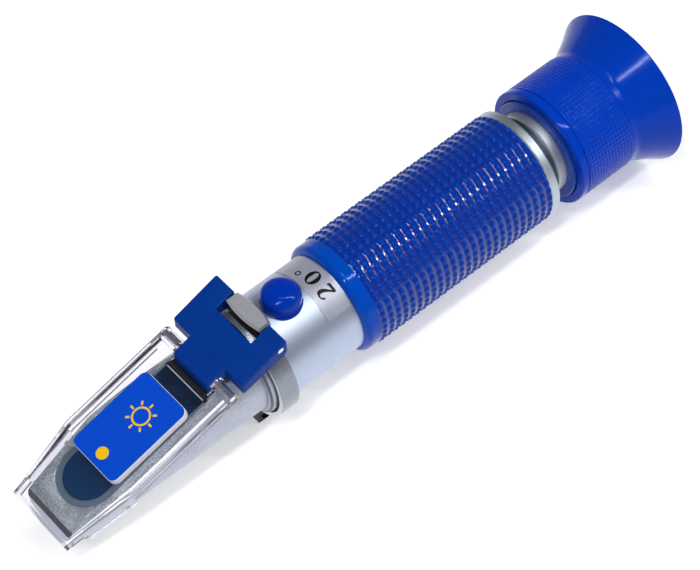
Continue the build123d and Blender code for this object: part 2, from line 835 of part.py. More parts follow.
def scale_glass():
    x1 = scale_position + scale_cell_length - scale_ring_length
    return rod_x(x1 - scale_glass_thickness, x1, scale_glass_radius)


def scale_ring():
    x1 = scale_position + scale_cell_length
    return ring_x(x1 - scale_ring_length, x1, scale_glass_radius, scale_view_radius)


# Eyepiece

barrel_clear_radius = barrel_radius + barrel_fit_clearance
guide_tip_radius = barrel_radius - guide_slot_depth + 0.15


def eyepiece_neck():
    points = [
        (tube_back - neck_spigot_length, barrel_clear_radius),
        (tube_back - neck_spigot_length, tube_bore_radius),
        (tube_back, tube_bore_radius), (tube_back, neck_groove_radius), (neck_start, neck_groove_radius),
        (neck_start, neck_radius - 0.3), (neck_start + 0.3, neck_radius), (neck_end, neck_radius),
        (neck_end, barrel_clear_radius),
    ]
    return turned_points(points) - rod_z(guide_pin_x, 0, 0, neck_radius + 1, guide_pin_radius)


def guide_pin():
    pin = rod_z(guide_pin_x, 0, guide_tip_radius, neck_radius + 1, guide_pin_radius)
    reach = 2 * guide_pin_radius
    return pin & rod_x(guide_pin_x - reach, guide_pin_x + reach, neck_radius - 0.1)


def lens_barrel():
    barrel = ring_x(barrel_front, barrel_back, barrel_radius, barrel_bore_radius)
    land_radius = barrel_bore_radius - lens_land
    barrel += ring_x(barrel_front, barrel_front + barrel_front_lip, barrel_radius, land_radius)
    barrel += ring_x(barrel_flange_front, barrel_flange_back, flange_radius, barrel_radius)
    slot = guide_pin_radius + guide_pin_clearance
    slot_end = guide_pin_x + slot + focus_travel + 0.2
    floor = barrel_radius - guide_slot_depth
    return barrel - block(barrel_front - 1, slot_end, -slot, slot, floor, barrel_radius + 1)


field_lens_x = barrel_front + barrel_front_lip
spacer_x = field_lens_x + field_lens_edge
eye_lens_x = spacer_x + spacer_length
retainer_x = eye_lens_x + eye_lens_edge


def field_lens():
    return lens_solid(field_lens_x, field_lens_edge, barrel_bore_radius, field_lens_crown, 0.4, lens_land)


def lens_spacer():
    return ring_x(spacer_x, eye_lens_x, barrel_bore_radius, barrel_bore_radius - lens_land)


def eye_lens():
    return lens_solid(eye_lens_x, eye_lens_edge, barrel_bore_radius, 0.6, eye_lens_crown, lens_land)


def retaining_ring():
    inner = barrel_bore_radius - lens_land
    ring = ring_x(retainer_x, retainer_x + retaining_ring_length, barrel_bore_radius, inner)
    notch = block(retainer_x + retaining_ring_length - 0.7, retainer_x + retaining_ring_length + 1,
                  -0.5, 0.5, -barrel_bore_radius, barrel_bore_radius)
    return ring - notch


focus_bore_radius = neck_radius + thread_clearance
socket_radius = flange_radius + flange_side_clearance


def focus_ring():
    step = focus_front + focus_lip_length
    groove = step + focus_groove_width
    seat = focus_front + focus_mouth_depth
    shoulder = barrel_flange_front - flange_axial_clearance
    r = focus_ring_radius
    e = focus_lip_round
    outline = Polyline(
        (focus_front, 0, r - e), (focus_front, 0, focus_mouth_radius), (seat, 0, focus_mouth_radius),
        (seat, 0, focus_bore_radius), (shoulder, 0, focus_bore_radius), (shoulder, 0, socket_radius),
        (focus_back, 0, socket_radius), (focus_back, 0, r - 0.4), (focus_back - 0.4, 0, r),
        (groove, 0, r), (groove, 0, r - focus_groove_depth), (step, 0, r - focus_groove_depth),
        (step, 0, r), (focus_front + e, 0, r),
    )
    k = e * (1 - math.sqrt(0.5))
    nose = ThreePointArc((focus_front + e, 0, r), (focus_front + k, 0, r - k), (focus_front, 0, r - e))
    return turned(outline + nose)


def dust_ring():
    # Inner ring that closes the gap to the neck, a little proud of the focus ring
    x0 = focus_front - dust_ring_proud
    step = focus_front + dust_ring_step_length
    x1 = focus_front + focus_mouth_depth
    inner = focus_bore_radius + dust_ring_clearance
    small = focus_mouth_radius - dust_ring_step
    return turned_points([
        (x0, inner), (x0, small - 0.2), (x0 + 0.2, small), (step, small),
        (step, focus_mouth_radius), (x1, focus_mouth_radius), (x1, inner),
    ])


def eyecup_outside():
    # A short straight neck behind the ring, then a cone that opens to the rim
    start = (focus_back, 0, eyecup_root_radius)
    neck_x = focus_back + eyecup_neck_length
    span = rim_x - neck_x
    rise = eyecup_rim_radius - eyecup_root_radius
    edge = (rim_x - rim_round, 0, eyecup_rim_radius - rim_round * 0.3)
    flare = Spline(
        (neck_x, 0, eyecup_root_radius),
        (neck_x + span * 0.2, 0, eyecup_root_radius + rise * 0.14),
        (neck_x + span * 0.6, 0, eyecup_root_radius + rise * 0.54),
        edge, tangents=[(1, 0, 0.12), (1, 0, 0.58)])
    return start, Line(start, (neck_x, 0, eyecup_root_radius)) + flare, edge


def eyecup():
    start, flare, edge = eyecup_outside()
    wall = eyecup_wall
    floor_x = focus_back + eyecup_floor
    hole = barrel_radius + eyecup_hole_clearance
    plug_x = focus_back - eyecup_plug_length
    inner_root = eyecup_root_radius - wall
    inner_rim = eyecup_rim_radius - wall * 0.8
    rim = Polyline(
        edge, (rim_x - rim_round * 0.3, 0, eyecup_rim_radius),
        (rim_x, 0, eyecup_rim_radius - rim_round * 0.3), (rim_x, 0, inner_rim + rim_round * 0.5),
        (rim_x - rim_round, 0, inner_rim))
    span = rim_x - floor_x
    rise = inner_rim - inner_root
    inside = Spline(
        (rim_x - rim_round, 0, inner_rim), (floor_x + span * 0.55, 0, inner_root + rise * 0.44),
        (floor_x + 0.6, 0, inner_root), tangents=[(-1, 0, -0.6), (-1, 0, -0.35)])
    rest = Polyline(
        (floor_x + 0.6, 0, inner_root), (floor_x, 0, inner_root - 0.6), (floor_x, 0, hole),
        (plug_x, 0, hole), (plug_x, 0, socket_radius), (focus_back, 0, socket_radius), start)
    return turned(flare + rim + inside + rest)


pieces = {
    "main_tube": main_tube,
    "grip_collar": grip_collar,
    "grip_sleeve": grip_sleeve,
    "end_ring": end_ring,
    "tube_label": tube_label,
    "prism_casting": prism_casting,
    "prism": prism_solid,
    "prism_seal": prism_seal,
    "clamp_band": clamp_band,
    "band_liner": band_liner,
    "clamp_screw": clamp_screw,
    "hinge_pin": hinge_pin,
    "hinge_block": hinge_block,
    "cover_pin": cover_pin,
    "cover_plate": cover_plate,
    "cover_pad": cover_pad,
    "pad_label": pad_label,
    "calibration_cap": calibration_cap,
    "screw_boss": screw_boss,
    "calibration_screw": calibration_screw,
    "carriage_frame": carriage_frame,
    "lens_carriage": lens_carriage,
    "objective_lens": objective_lens,
    "bimetal_strip": bimetal_strip,
    "strip_screw": strip_screw,
    "light_baffle": light_baffle,
    "scale_cell": scale_cell,
    "scale_glass": scale_glass,
    "scale_ring": scale_ring,
    "eyepiece_neck": eyepiece_neck,
    "guide_pin": guide_pin,
    "lens_barrel": lens_barrel,
    "field_lens": field_lens,
    "lens_spacer": lens_spacer,
    "eye_lens": eye_lens,
    "retaining_ring": retaining_ring,
    "focus_ring": focus_ring,
    "dust_ring": dust_ring,
    "eyecup": eyecup,
}


def write_parts():
    os.makedirs("parts", exist_ok=True)
    to_origin = Pos(-mid_length_x, 0, 0)
    for name, make in pieces.items():
        export_step(to_origin * make(), f"parts/{name}.step")
    pin_x, pin_z = from_flat(front_pin_s, front_pin_above_flat)
    places = {
        "length": rim_x - cover_tip_x,
        "rear pin": (rear_pin_x - mid_length_x, rear_pin_height),
        "front pin": (pin_x - mid_length_x, pin_z),
        "cap": cap_x - mid_length_x,
        "rim": rim_x - mid_length_x,
        "band": (band_front - mid_length_x, band_back - mid_length_x),
        "flat crosses the axis": flat_axis_x - mid_length_x,
        "pin height over the flat": front_pin_guess,
    }
    for name, value in places.items():
        print(name, value)


write_parts()
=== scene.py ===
import math

import bmesh
import bpy
from mathutils import Matrix, Vector


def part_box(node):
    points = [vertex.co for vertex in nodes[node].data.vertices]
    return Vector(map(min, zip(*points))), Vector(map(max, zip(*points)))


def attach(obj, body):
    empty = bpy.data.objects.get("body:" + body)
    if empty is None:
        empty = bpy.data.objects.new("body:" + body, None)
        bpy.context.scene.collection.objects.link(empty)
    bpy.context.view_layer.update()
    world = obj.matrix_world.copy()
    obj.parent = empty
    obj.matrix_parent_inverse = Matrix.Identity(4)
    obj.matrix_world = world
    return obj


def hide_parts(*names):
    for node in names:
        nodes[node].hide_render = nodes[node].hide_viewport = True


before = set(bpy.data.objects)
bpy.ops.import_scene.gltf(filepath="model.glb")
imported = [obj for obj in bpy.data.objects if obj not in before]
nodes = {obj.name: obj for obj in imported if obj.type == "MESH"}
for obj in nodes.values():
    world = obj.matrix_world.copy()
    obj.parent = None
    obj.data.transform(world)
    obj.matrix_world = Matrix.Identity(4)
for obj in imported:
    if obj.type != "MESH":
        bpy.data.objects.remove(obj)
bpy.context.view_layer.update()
mm = 0.001
print("frame loaded:", len(nodes), "nodes")


# camera first, at the photograph's angle
camera = {
    "place": (-196.533, -260.467, 457.604),  # mm from the middle of the instrument
    "right": (0.75723, -0.65170, -0.04334),
    "down": (-0.55017, -0.60068, -0.58009),
    "lens": 128.39,  # mm, as the sensor
    "sensor": 36.0,
    "nearest": 0.01,  # metres
}


def makeCamera():
    data = bpy.data.cameras.new("photoCamera")
    data.lens = camera["lens"]
    data.sensor_width = camera["sensor"]
    data.clip_start = camera["nearest"]
    eye = bpy.data.objects.new("photoCamera", data)
    bpy.context.scene.collection.objects.link(eye)
    right = Vector(camera["right"]).normalized()
    up = -Vector(camera["down"])
    up = (up - right * up.dot(right)).normalized()
    back = right.cross(up)
    turn = Matrix((right, up, back)).transposed().to_4x4()
    eye.matrix_world = Matrix.Translation(Vector(camera["place"]) * mm) @ turn
    bpy.context.scene.camera = eye


makeCamera()
print("camera placed")


# node and colour helpers
def linearColour(hexValue):
    channels = []
    for i in (0, 2, 4):
        c = int(hexValue[i : i + 2], 16) / 255
        channels.append(c / 12.92 if c <= 0.04045 else ((c + 0.055) / 1.055) ** 2.4)
    return (*channels, 1.0)


def fillSocket(node, key, value):
    node.inputs[key].default_value = linearColour(value) if isinstance(value, str) else value


def join(node, links):
    # a node given in place of a socket stands for its first output in use
    for key, source in links.items():
        if isinstance(source, bpy.types.Node):
            source = next(socket for socket in source.outputs if socket.enabled)
        node.id_data.links.new(source, node.inputs[key])


def addNode(tree, kind, settings=None, links=None):
    # settings are the node's properties and the values of its free sockets, colours in hex;
    # Mix has its factor at 0, its colours at 6 and 7, its plain values at 2 and 3
    node = tree.nodes.new("ShaderNode" + kind)
    for key, value in (settings or {}).items():
        if isinstance(key, str) and hasattr(node, key):
            setattr(node, key, value)
        else:
            fillSocket(node, key, value)
    join(node, links or {})
    return node


def newMaterial(name, settings):
    material = bpy.data.materials.new(name)
    material.use_nodes = True
    shader = material.node_tree.nodes["Principled BSDF"]
    for key, value in settings.items():
        fillSocket(shader, key, value)
    return material, material.node_tree, shader


def grain(tree, size, detail=3.0, stretch=(1, 1, 1)):
    # noise whose blotches are about size millimetres across, in the object's own metres
    place = addNode(tree, "TexCoord")
    scaled = addNode(tree, "Mapping", {"Scale": stretch}, {"Vector": place.outputs["Object"]})
    noise = {"Scale": 1 / (size * mm), "Detail": detail, "Roughness": 0.6}
    return addNode(tree, "TexNoise", noise, {"Vector": scaled})


def axes(tree, kind):
    # X, Y and Z of the place on the piece (Object), of the way its surface faces (Normal) or of the
    # place on the sky's dome (Generated)
    place = addNode(tree, "TexCoord")
    return addNode(tree, "SeparateXYZ", None, {"Vector": place.outputs[kind]}).outputs


def mask(tree, *limits):
    # each limit is (socket, value that gives 0, value that gives 1), and the mask is their product
    whole = None
    for socket, none, full in limits:
        share = addNode(tree, "MapRange", {"From Min": none, "From Max": full}, {"Value": socket})
        whole = addNode(tree, "Math", {"operation": "MULTIPLY"}, {0: whole, 1: share}) if whole else share
    return whole


def summed(tree, *spans):
    # each span is (socket, value that gives 0, value that gives the most, the most), added up
    whole = None
    for socket, none, full, most in spans:
        span = {"From Min": none, "From Max": full, "To Max": most}
        share = addNode(tree, "MapRange", span, {"Value": socket})
        whole = addNode(tree, "Math", {"operation": "ADD"}, {0: whole, 1: share}) if whole else share
    return whole


def paintOver(tree, shader, where, colour):
    # where the mask is 1, the colour covers what the finish has there
    under = shader.inputs["Base Color"].links[0].from_socket
    tint = addNode(tree, "Mix", {"data_type": "RGBA", 7: colour}, {0: where, 6: under})
    join(shader, {"Base Color": tint})


finish = {}


def newFinish(name, look):
    # colours drift from dark to pale with the clouds, roughness and relief follow the finer skin;
    # clouds and skin are (mm, detail, stretch), relief is (mm, strength)
    finish[name], tree, shader = newMaterial(name, look["shader"])
    skin = grain(tree, *look["skin"])
    if "colours" in look:
        clouds = grain(tree, *look["clouds"]) if "clouds" in look else skin
        dark, pale = look["colours"]
        tint = addNode(tree, "Mix", {"data_type": "RGBA", 6: dark, 7: pale}, {0: clouds})
        join(shader, {"Base Color": tint})
    if "rough" in look:
        low, high = look.get("skinSpan", (0.3, 0.7))  # most of the noise lies between these
        span = {"From Min": low, "From Max": high, "To Min": look["rough"][0], "To Max": look["rough"][1]}
        join(shader, {"Roughness": addNode(tree, "MapRange", span, {"Value": skin})})
    if "relief" in look:
        depth, strength = look["relief"]
        bump = addNode(tree, "Bump", {"Distance": depth * mm, "Strength": strength}, {"Height": skin})
        join(shader, {"Normal": bump})
    return tree, shader, skin


# finishes that are alike all over their piece
plainFinishes = {
    # anodised aluminium tube, turned and then bead blasted: a soft broad shine with a very fine grain
    "blastedAluminium": {
        "shader": {"Metallic": 1.0},
        "colours": ("AEBACF", "BCC7DB"),
        "clouds": (9.0, 2.0),
        "skin": (0.22, 2.0),  # real blast pits are 0.05 mm, drawn coarser so that they show
        "rough": (0.4, 0.48),
        "relief": (0.006, 0.6),
    },
    # bright turned aluminium ring: fine tool marks that run round the axis
    "turnedAluminium": {
        "shader": {"Metallic": 1.0},
        "colours": ("A9B4C0", "C3CDD6"),
        "skin": (0.16, 2.0, (1.0, 0.03, 0.03)),  # tool feed about 0.08 mm, doubled so that it shows
        "rough": (0.38, 0.5),
        "relief": (0.006, 0.5),
    },
    # hard steel pins with ground ends: small bright mirrors
    "polishedSteel": {
        "shader": {"Metallic": 1.0, "Base Color": "D9DBE0"},
        "skin": (0.2, 3.0),
        "rough": (0.12, 0.22),
    },
    # oxide-blackened socket screw: dark with a brownish sheen
    "blackenedSteel": {
        "shader": {"Metallic": 1.0, "Base Color": "3A3335"},
        "skin": (0.25, 3.0),
        "rough": (0.28, 0.42),
    },
    # free-cutting brass, bright turned: warm yellow with marks round its upright axis
    "turnedBrass": {
        "shader": {"Metallic": 1.0},
        "colours": ("B8964A", "D6BA6E"),
        "skin": (0.2, 2.0, (0.05, 0.05, 1.0)),
        "rough": (0.22, 0.34),
    },
    # black anodised aluminium inside the tube, made dull to swallow stray light
    "blackAnodised": {
        "shader": {"Metallic": 0.0, "Specular IOR Level": 0.3},
        "colours": ("0B0B0D", "17171A"),
        "skin": (0.3, 3.0),
        "rough": (0.5, 0.65),
    },
    # hinge block, ABS moulded in a spark-eroded tool: a fine even grain and a dull sheen
    "sparkFinishedAbs": {
        "shader": {"IOR": 1.53, "Specular IOR Level": 0.1},
        "colours": ("00318A", "003D9A"),
        "clouds": (5.0, 2.0),
        "skin": (0.18, 2.0),  # spark grain of 0.05 mm, drawn coarser
        "rough": (0.34, 0.46),
        "relief": (0.012, 0.6),
    },
    # band's liner, synthetic rubber moulded to shape: blue so deep that it is nearly black, and dull
    "darkRubber": {
        "shader": {"IOR": 1.52, "Specular IOR Level": 0.18, "Specular Tint": "A4BCFF"},
        "colours": ("06163A", "0A1E4C"),
        "clouds": (4.0, 3.0),
        "skin": (0.3, 2.0),
        "rough": (0.4, 0.55),
        "relief": (0.002, 0.5),
    },
    # edge of the prism, glass ground with fine grit: pale and frosted
    "groundGlass": {
        "shader": {"IOR": 1.53, "Specular IOR Level": 0.4, "Specular Tint": "B8CCFF"},
        "colours": ("AFC3D2", "D3E0EA"),
        "clouds": (6.0, 2.0),
        "skin": (0.7, 2.0),
        "rough": (0.5, 0.6),
        "relief": (0.003, 0.5),
    },
    # tube's label, metallised polyester film: silver grey, smoother than the tube under it
    "silverFilm": {
        "shader": {"Metallic": 0.35, "IOR": 1.5},
        "colours": ("A4A8B8", "B6BAC8"),
        "skin": (3.0, 3.0),
        "rough": (0.34, 0.42),
    },
}
for name, look in plainFinishes.items():
    newFinish(name, look)

# ABS moulded in a polished tool: even colour, faint flow clouds, a skin with a slight orange peel
mouldedAbs = {  # dark, pale, roughness, specular level
    "eyepieceAbs": ("0038B8", "0041C6", (0.08, 0.12), 0.14),
    "eyecupAbs": ("0038B4", "0041C0", (0.12, 0.17), 0.17),
    "collarAbs": ("0044B4", "004EC2", (0.06, 0.1), 0.17),
    "capAbs": ("002FA8", "0037B4", (0.1, 0.15), 0.2),
    "insertAbs": ("103C9C", "1C48AC", (0.2, 0.3), 0.3),
    "whiteAbs": ("ECECF2", "F6F6FA", (0.2, 0.3), 0.4),
}
for name, (dark, pale, rough, specular) in mouldedAbs.items():
    newFinish(name, {
        "shader": {"IOR": 1.53, "Specular IOR Level": specular, "Specular Tint": "B8CCFF"},
        "colours": (dark, pale),
        "clouds": (6.0, 2.0),  # flow clouds a few millimetres wide
        "skin": (0.7, 2.0),
        "rough": rough,
        "relief": (0.003, 0.5),
    })

# screen-printed polyester film, glued down: flat even ink with a satin skin
printedFilm = {  # dark, pale, roughness
    "blueFilm": ("0049D0", "0050DA", 0.32),
    "yellowInk": ("F6C400", "FFD21A", 0.38),
    "paleYellowInk": ("F0C21E", "FFD23C", 0.38),
    "blackInk": ("060607", "101012", 0.4),
}
for name, (dark, pale, rough) in printedFilm.items():
    newFinish(name, {
        "shader": {"IOR": 1.5, "Specular IOR Level": 0.2, "Roughness": rough},
        "colours": (dark, pale),
        "skin": (0.25, 2.0),  # print mesh of 0.1 mm, drawn coarser
        "relief": (0.002, 0.4),
    })

# eyepiece's neck: satin turned aluminium, with painted shade darkening the groove behind the end ring
neck = {
    "shader": {"Metallic": 1.0},
    "colours": ("B4BAC3", "CCD1D8"),
    "skin": (0.2, 2.0, (1.0, 0.03, 0.03)),
    "rough": (0.48, 0.58),
    "relief": (0.005, 0.5),
    # painted shade in the groove behind the end ring
    "grooveShade": "4A5660",
    "unshadedAt": 56.5,  # mm along the tube
    "shadedAt": 56.15,
}


def neckAluminium():
    tree, shader, _ = newFinish("neckAluminium", neck)
    grooveShadow = mask(tree, (axes(tree, "Object")["X"], neck["unshadedAt"] * mm, neck["shadedAt"] * mm))
    # painted shade over the groove behind the end ring
    paintOver(tree, shader, grooveShadow, neck["grooveShade"])


neckAluminium()

# front casting, aluminium cast in sand and left unpolished: pale grey, sugary grain, dull shine
casting = {
    "shader": {"Metallic": 0.55},
    "skin": (0.34, 3.0),  # casting sand is 0.2 to 0.4 mm
    "rough": (0.3, 0.44),
    "relief": (0.09, 0.9),
    "clouds": (5.0, 3.0),
    "grainSpan": (0.35, 0.65, 0.7),  # noise that gives none and the most, and its share of the speckle
    "cloudSpan": (0.3, 0.7, 0.3),
    "top": ("6C7678", "C8D0D0"),  # lit copy for the upward faces, painted lighter against the shade of the cover above them, and speckled darker
    "topFacing": (0.35, 0.9),  # how far up the surface faces, for none of it and all of it
    # shaded copy for the flanks, painted darker to damp the pale floor's reflection in them
    "shadedFlanks": ("A0A6B6", "C2C8D8"),
    "bevel": "565A60",  # painted shade on the bevel at the tip, which the face below it doesn't get
    "bevelFacing": ((-0.42, -0.6), (-0.97, -0.88)),  # the same, along the instrument
    "tongueShadow": "0E1218",  # painted shadow on the ledge under the hinge's tongue
    "ledgeHalf": (6.8, 6.4),  # mm from the middle, without the painted shadow and with all of it
    "ledgeFront": (-45.2, -45.0),  # mm along the instrument
}


def sandCastAluminium():
    tree, shader, sand = newFinish("sandCastAluminium", casting)
    place, facing = axes(tree, "Object"), axes(tree, "Normal")
    cloud = grain(tree, *casting["clouds"])
    speckled = summed(tree, (sand, *casting["grainSpan"]), (cloud, *casting["cloudSpan"]))
    # lit top and shaded flanks: painted light and shade, chosen by the way the surface faces
    shadedFlanks, top = (addNode(tree, "Mix", {"data_type": "RGBA", 6: dark, 7: pale}, {0: speckled})
                   for dark, pale in (casting["shadedFlanks"], casting["top"]))
    upward = (facing["Z"], *casting["topFacing"])
    both = addNode(tree, "Mix", {"data_type": "RGBA"}, {0: mask(tree, upward), 6: shadedFlanks, 7: top})
    join(shader, {"Base Color": both})
    # painted shade on the front bevel
    bevel = mask(tree, *((facing["X"], *span) for span in casting["bevelFacing"]))
    paintOver(tree, shader, bevel, casting["bevel"])
    across = addNode(tree, "Math", {"operation": "ABSOLUTE"}, {0: place["Y"]})
    # painted shadow of the hinge's tongue on the ledge behind the prism
    unshadowedHalf, shadowedHalf = casting["ledgeHalf"]
    before, behind = casting["ledgeFront"]
    ledgeShadow = mask(tree, (across, unshadowedHalf * mm, shadowedHalf * mm), (place["X"], before * mm, behind * mm), upward)
    paintOver(tree, shader, ledgeShadow, casting["tongueShadow"])


sandCastAluminium()

# die-cast clamp band: polished flanks with a painted white reflection on the front ones, cast grain on the
# knuckle's top, painted shade on the knuckle under the hinge block and on the lug below
band = {
    "shader": {"Metallic": 0.7},
    "skin": (0.35, 4.0),  # die skin, about 0.2 mm, drawn coarser
    "ground": ("787E89", "A6ACB6"),
    "cast": ("82858E", "E4E6EE"),
    "castFacing": (0.85, 0.97),  # how far up the surface faces, for none of it and all of it
    "castAbove": (16.0, 16.6),  # mm over the axis
    # painted reflection on the front flanks
    "flankReflection": "F4F5F8",
    "flankFacing": (-0.6, -0.9),  # the same, along the instrument
    "blockShade": "2A2D34",  # painted shade on the knuckle's flanks under the hinge block
    "blockShadeFacing": (0.5, 0.3),
    "blockShadeAbove": (12.8, 13.4),
    # painted shade on the lug below, whose faces turn down and away from the light
    "lug": "241E20",
    "lugBelow": (-13.8, -14.6),
    "groundRough": 0.32,
    "castRough": 0.5,
    "lugRough": 0.42,
    "pits": (0.06, 0.8),
}


def bandAluminium():
    tree, shader, sand = newFinish("bandAluminium", {"shader": band["shader"], "skin": band["skin"]})
    height, facing = axes(tree, "Object")["Z"], axes(tree, "Normal")
    castAbove, blockShadeAbove, lugBelow = ((height, band[key][0] * mm, band[key][1] * mm)
                                      for key in ("castAbove", "blockShadeAbove", "lugBelow"))
    cast = mask(tree, (facing["Z"], *band["castFacing"]), castAbove)
    plain, sandy = (addNode(tree, "Mix", {"data_type": "RGBA", 6: dark, 7: pale}, {0: sand})
                    for dark, pale in (band["ground"], band["cast"]))
    both = addNode(tree, "Mix", {"data_type": "RGBA"}, {0: cast, 6: plain, 7: sandy})
    join(shader, {"Base Color": both})
    # painted white reflection on the front flanks
    paintOver(tree, shader, mask(tree, (facing["X"], *band["flankFacing"])), band["flankReflection"])
    # painted shade on the knuckle under the hinge block
    paintOver(tree, shader, mask(tree, (facing["Z"], *band["blockShadeFacing"]), blockShadeAbove), band["blockShade"])
    # painted shade over the lug
    lug = mask(tree, lugBelow)
    paintOver(tree, shader, lug, band["lug"])
    upperSpan = {"To Min": band["groundRough"], "To Max": band["castRough"]}
    upper = addNode(tree, "MapRange", upperSpan, {"Value": cast})
    rough = addNode(tree, "Mix", {"data_type": "FLOAT", 3: band["lugRough"]}, {0: lug, 2: upper})
    pits = addNode(tree, "Math", {"operation": "MULTIPLY"}, {0: sand, 1: cast})
    depth, strength = band["pits"]
    bump = addNode(tree, "Bump", {"Distance": depth * mm, "Strength": strength}, {"Height": pits})
    join(shader, {"Roughness": rough, "Normal": bump})


bandAluminium()

# grip, synthetic rubber moulded to shape and handled: satin on the studs, while the groove floors, out
# of the hand's reach, keep the mould's polish and flash where they face the light
gripLook = {
    "shader": {"IOR": 1.52, "Specular IOR Level": 0.18, "Specular Tint": "A4BCFF",
               "Coat Roughness": 0.045, "Coat IOR": 2.2},
    "colours": ("00359F", "0040B2"),
    "clouds": (4.0, 3.0),
    "skin": (0.3, 2.0),
    "rough": (0.13, 0.2),
    # painted shade, deeper towards the groove floors
    "groove": "002890",
    "grooveShadeFade": (14.1, 13.75),  # mm from the axis, for none of the grooves' painted shade and all of it
    "satinFade": (13.83, 13.89),
    "polish": 0.34,  # weight of the coat on the groove floors
    "polishRough": 0.045,
}


def gripRubber():
    tree, shader, _ = newFinish("gripRubber", gripLook)
    place = addNode(tree, "TexCoord").outputs["Object"]
    flat = addNode(tree, "VectorMath", {"operation": "MULTIPLY", 1: (0, 1, 1)}, {0: place})
    radius = addNode(tree, "VectorMath", {"operation": "LENGTH"}, {0: flat})
    groove, satin = (mask(tree, (radius, gripLook[key][0] * mm, gripLook[key][1] * mm))
                     for key in ("grooveShadeFade", "satinFade"))
    # painted shade in the grooves between the studs
    paintOver(tree, shader, groove, gripLook["groove"])
    worn = shader.inputs["Roughness"].links[0].from_socket
    polished = {"operation": "MULTIPLY_ADD", 2: gripLook["polishRough"]}
    rough = addNode(tree, "Math", polished, {0: satin, 1: worn})
    coat = addNode(tree, "MapRange", {"To Min": gripLook["polish"], "To Max": 0.0}, {"Value": satin})
    join(shader, {"Roughness": rough, "Coat Weight": coat})


gripRubber()

# grey-green sealing compound round the prism, with painted shadow behind it under the hinge's tongue
seal = {
    "shader": {"IOR": 1.52, "Specular IOR Level": 0.2},
    "colours": ("566878", "70828E"),
    "skin": (0.4, 3.0),
    "rough": (0.45, 0.6),
    "relief": (0.01, 0.5),
    # painted shadow under the hinge's tongue
    "tongueShadow": "0A0E14",
}


def sealRubber():
    tree, shader, _ = newFinish("sealRubber", seal)
    before, behind = casting["ledgeFront"]
    # painted shadow on the seal behind the prism
    sealShadow = mask(tree, (axes(tree, "Object")["X"], before * mm, behind * mm))
    paintOver(tree, shader, sealShadow, seal["tongueShadow"])


sealRubber()


def letLightThrough(tree, shader, colour="FFFFFF"):
    # light that goes on to what lies behind isn't stopped by clear plastic or glass
    rays = addNode(tree, "LightPath").outputs
    going = {0: rays["Is Shadow Ray"], 1: rays["Is Diffuse Ray"]}
    soft = addNode(tree, "Math", {"operation": "MAXIMUM"}, going)
    clear = addNode(tree, "BsdfTransparent", {"Color": colour})
    both = addNode(tree, "MixShader", None, {0: soft, 1: shader, 2: clear})
    join(tree.nodes["Material Output"], {"Surface": both})


# cover, PMMA moulded clear: polished faces with fine wiping scratches and a trace of violet
acrylic = {
    "shader": {"Base Color": "F7F6FC", "IOR": 1.49, "Transmission Weight": 1.0, "Specular IOR Level": 0.25},
    "skin": (0.6, 4.0, (0.15, 1.0, 1.0)),
    "skinSpan": (0.45, 0.8),
    "rough": (0.015, 0.06),
    "haze": "DCD9EA",
    "wall": (0.9, 0.6, 0.03),  # how far up it faces, for no haze and the most, and how much
    "front": (-0.6, -0.9, 0.05),  # the same along the instrument, so that the front wall is haziest
    "through": "F6F6FA",
}


def clearAcrylic():
    tree, shader, _ = newFinish("clearAcrylic", acrylic)
    facing = axes(tree, "Normal")
    share = summed(tree, (facing["Z"], *acrylic["wall"]), (facing["X"], *acrylic["front"]))
    haze = addNode(tree, "BsdfDiffuse", {"Color": acrylic["haze"]})
    hazy = addNode(tree, "MixShader", None, {0: share, 1: shader, 2: haze})
    letLightThrough(tree, hazy, acrylic["through"])


clearAcrylic()

# lenses and scale, crown glass ground and polished: clear, with a thin bluish coating and a little dust
crown = {
    "shader": {"Base Color": "F4F6FF", "IOR": 1.52, "Transmission Weight": 1.0,
               "Coat Weight": 0.3, "Coat Tint": "9FB4FF"},
    "skin": (0.8, 4.0),
    "skinSpan": (0.6, 0.8),
    "rough": (0.0, 0.06),
}


def opticalGlass():
    tree, shader, _ = newFinish("opticalGlass", crown)
    letLightThrough(tree, shader)


opticalGlass()

# measuring prism of dense glass over a blue filter: deep navy with a polished top; darker behind with a
# brighter blue band near the back, painted reflections from inside the glass
flint = {
    "shader": {"IOR": 1.62, "Specular IOR Level": 0.1},
    "skin": (0.5, 4.0),
    "rough": (0.04, 0.06),
    "ends": ("00385E", "001A34"),  # front and back
    # painted reflection: a brighter blue band towards the back
    "between": ((0.55, "003068"), (0.8, "004A80")),
    "frontAt": -76.0,  # mm along the instrument
    "backAt": -44.0,
    "clouds": (7.0, 2.0),
    "drift": 6.0,  # mm that the colours wander with the clouds
}


def blueFlintGlass():
    tree, shader, _ = newFinish("blueFlintGlass", flint)
    wavy = addNode(tree, "Math", {"operation": "MULTIPLY_ADD", 1: flint["drift"] * mm},
                   {0: grain(tree, *flint["clouds"]), 2: axes(tree, "Object")["X"]})
    reach = mask(tree, (wavy, flint["frontAt"] * mm, flint["backAt"] * mm))
    ramp = addNode(tree, "ValToRGB", None, {"Fac": reach})
    stops = ramp.color_ramp.elements
    stops[0].color, stops[1].color = (linearColour(colour) for colour in flint["ends"])
    for share, colour in flint["between"]:
        stops.new(share).color = linearColour(colour)
    join(shader, {"Base Color": ramp})


blueFlintGlass()
print("finishes made:", len(finish))


# mesh helpers
def newPiece(name, bm, material, body, replaced=(), sharp=35.0):
    bmesh.ops.recalc_face_normals(bm, faces=bm.faces)
    mesh = bpy.data.meshes.new(name)
    bm.to_mesh(mesh)
    bm.free()
    mesh.polygons.foreach_set("use_smooth", [True] * len(mesh.polygons))
    mesh.set_sharp_from_angle(angle=math.radians(sharp))
    mesh.materials.append(material)
    piece = bpy.data.objects.new(name, mesh)
    bpy.context.scene.collection.objects.link(piece)
    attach(piece, body)
    if replaced:
        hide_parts(*replaced)
    return piece


